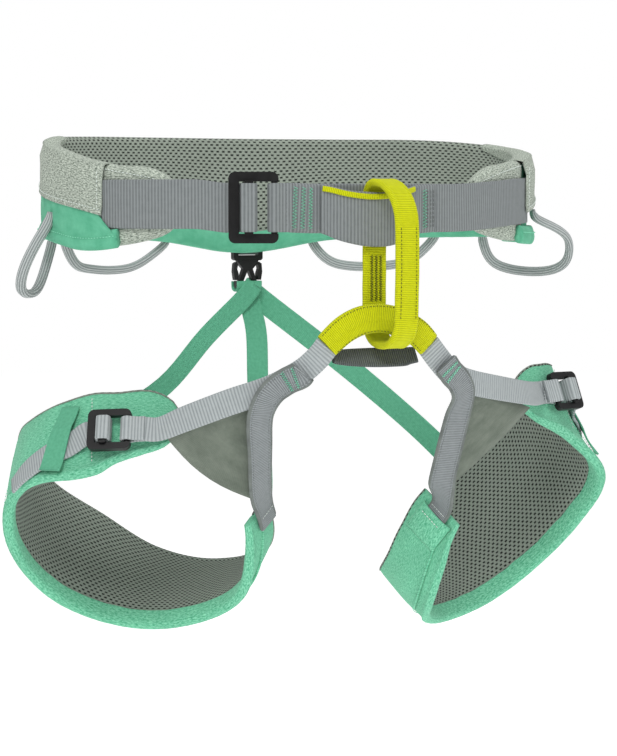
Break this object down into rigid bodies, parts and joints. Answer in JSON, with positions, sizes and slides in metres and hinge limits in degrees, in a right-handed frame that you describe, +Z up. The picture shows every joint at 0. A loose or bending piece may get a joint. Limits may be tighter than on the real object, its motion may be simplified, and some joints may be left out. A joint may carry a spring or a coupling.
{
  "type": "climbing harness",
  "caption": "Open climbing harness with a padded waist belt, two adjustable leg loops, belay loop, tie-in loops, four gear loops and rear elastic risers.",
  "frame": {"origin": "centre of the waist opening, at the height of the middle of the waist webbing", "axes": "+X to the wearer's left, the widest extent; -Y to the front, where the buckle and belay loop are; +Z up"},
  "size_m": [0.4272, 0.2791, 0.3356],
  "materials": {
    "jade_shell": "matte",
    "grey_cloth": "matte",
    "mesh": "matte",
    "sage_cover": "matte",
    "foam": "matte",
    "grey_webbing": "matte",
    "dark_webbing": "matte",
    "yellow_webbing": "matte",
    "black_metal": "satin",
    "black_plastic": "satin",
    "green_elastic": "matte",
    "grey_cord": "satin"
  },
  "bodies": {
    "waist": {"clip_body": "black_plastic", "clip_keeper_webbing": "dark_webbing", "clip_receiver": "black_plastic", "gear_tabs_front_left": "dark_webbing", "gear_tabs_front_right": "dark_webbing", "gear_tabs_rear_left": "dark_webbing", "gear_tabs_rear_right": "dark_webbing", "left_end_cover": "sage_cover", "left_shell_hem": "jade_shell", "leg_crosspiece": "dark_webbing", "lower_tie_in_sleeve": "yellow_webbing", "right_end_cover": "sage_cover", "right_shell_hem": "jade_shell", "riser_centre": "green_elastic", "riser_left": "green_elastic", "riser_right": "green_elastic", "tie_in_wear_strip": "yellow_webbing", "upper_tie_in_loop": "grey_webbing", "waist_bartack_left": "green_elastic", "waist_bartack_right": "green_elastic", "waist_foam": "foam", "waist_mesh_lining": "mesh", "waist_outer_shell": "jade_shell", "waist_webbing_left": "grey_webbing", "waist_webbing_right": "grey_webbing"},
    "left_leg": {"left_elastic_keeper": "green_elastic", "left_gusset": "grey_cloth", "left_inner_webbing": "grey_webbing", "left_leg_bartack": "green_elastic", "left_leg_foam": "foam", "left_leg_mesh_lining": "mesh", "left_leg_outer_shell": "jade_shell", "left_outer_webbing": "grey_webbing", "left_webbing_tail": "grey_webbing"},
    "right_leg": {"right_elastic_keeper": "green_elastic", "right_gusset": "grey_cloth", "right_inner_webbing": "grey_webbing", "right_leg_bartack": "green_elastic", "right_leg_foam": "foam", "right_leg_mesh_lining": "mesh", "right_leg_outer_shell": "jade_shell", "right_outer_webbing": "grey_webbing", "right_webbing_tail": "grey_webbing"},
    "belay_loop": {"belay_loop_bartack": "dark_webbing", "belay_loop_webbing": "yellow_webbing"},
    "waist_buckle": {"waist_buckle_frame": "black_metal", "waist_buckle_slider": "black_metal", "waist_webbing_fold": "grey_webbing"},
    "left_leg_buckle": {"left_buckle_frame": "black_metal", "left_buckle_slider": "black_metal", "left_webbing_fold": "grey_webbing"},
    "right_leg_buckle": {"right_buckle_frame": "black_metal", "right_buckle_slider": "black_metal", "right_webbing_fold": "grey_webbing"},
    "clip_arm_left": {"clip_left_arm": "black_plastic"},
    "clip_arm_right": {"clip_right_arm": "black_plastic"},
    "gear_front_left": {"gear_loop_front_left": "grey_cord"},
    "gear_rear_left": {"gear_loop_rear_left": "grey_cord"},
    "gear_rear_right": {"gear_loop_rear_right": "grey_cord"},
    "gear_front_right": {"gear_loop_front_right": "grey_cord"}
  },
  "joints": [
    {"name": "left_leg_swing", "type": "hinge", "parent": "waist", "child": "left_leg", "pos_m": [-0.0415, -0.132, -0.087], "axis": [1, 0, 0], "range_deg": [-20, 14], "stiffness_Nm_per_rad": 1.5, "springref_deg": 8.19, "deforming": ["riser_left", "riser_centre"]},
    {"name": "right_leg_swing", "type": "hinge", "parent": "waist", "child": "right_leg", "pos_m": [0.025, -0.132, -0.088], "axis": [1, 0, 0], "range_deg": [-20, 14], "stiffness_Nm_per_rad": 1.5, "springref_deg": 8.71, "deforming": ["riser_right"]},
    {"name": "belay_loop_turn", "type": "hinge", "parent": "waist", "child": "belay_loop", "pos_m": [-0.0025, -0.136, -0.04], "axis": [0, 0, 1], "range_deg": [-7, 7], "stiffness_Nm_per_rad": 0.004},
    {"name": "gear_front_left_swing", "type": "hinge", "parent": "waist", "child": "gear_front_left", "pos_m": [-0.16396, 0.03461, -0.018], "axis": [0.2806, 0.9258, -0.2532], "range_deg": [0, 40], "stiffness_Nm_per_rad": 0.01},
    {"name": "gear_rear_left_swing", "type": "hinge", "parent": "waist", "child": "gear_rear_left", "pos_m": [-0.10155, 0.09137, -0.0255], "axis": [0.9233, 0.3827, -0.0322], "range_deg": [0, 40], "stiffness_Nm_per_rad": 0.01},
    {"name": "gear_rear_right_swing", "type": "hinge", "parent": "waist", "child": "gear_rear_right", "pos_m": [0.09242, 0.09294, -0.025], "axis": [0.93, -0.365, 0.0436], "range_deg": [0, 40], "stiffness_Nm_per_rad": 0.01},
    {"name": "gear_front_right_swing", "type": "hinge", "parent": "waist", "child": "gear_front_right", "pos_m": [0.15951, 0.01704, -0.0165], "axis": [0.0311, -0.9773, 0.2096], "range_deg": [0, 40], "stiffness_Nm_per_rad": 0.01},
    {"name": "waist_buckle_tilt", "type": "hinge", "parent": "waist", "child": "waist_buckle", "pos_m": [-0.06555, -0.10651, -0.005], "axis": [0, 0, 1], "range_deg": [0, 25], "stiffness_Nm_per_rad": 0.05},
    {"name": "left_buckle_tilt", "type": "hinge", "parent": "left_leg", "child": "left_leg_buckle", "pos_m": [-0.14951, -0.07557, -0.13901], "axis": [0.2009, 0.4427, 0.8739], "range_deg": [0, 25], "stiffness_Nm_per_rad": 0.03},
    {"name": "right_buckle_tilt", "type": "hinge", "parent": "right_leg", "child": "right_leg_buckle", "pos_m": [0.15935, -0.05369, -0.12917], "axis": [0.1156, -0.3654, -0.9237], "range_deg": [0, 25], "stiffness_Nm_per_rad": 0.03},
    {"name": "clip_left_squeeze", "type": "hinge", "parent": "waist", "child": "clip_arm_left", "pos_m": [-0.0058, 0.115, -0.0579], "axis": [0, 1, 0], "range_deg": [0, 5], "stiffness_Nm_per_rad": 0.3},
    {"name": "clip_right_squeeze", "type": "hinge", "parent": "waist", "child": "clip_arm_right", "pos_m": [0.0118, 0.115, -0.0579], "axis": [0, -1, 0], "range_deg": [0, 5], "stiffness_Nm_per_rad": 0.3}
  ]
}
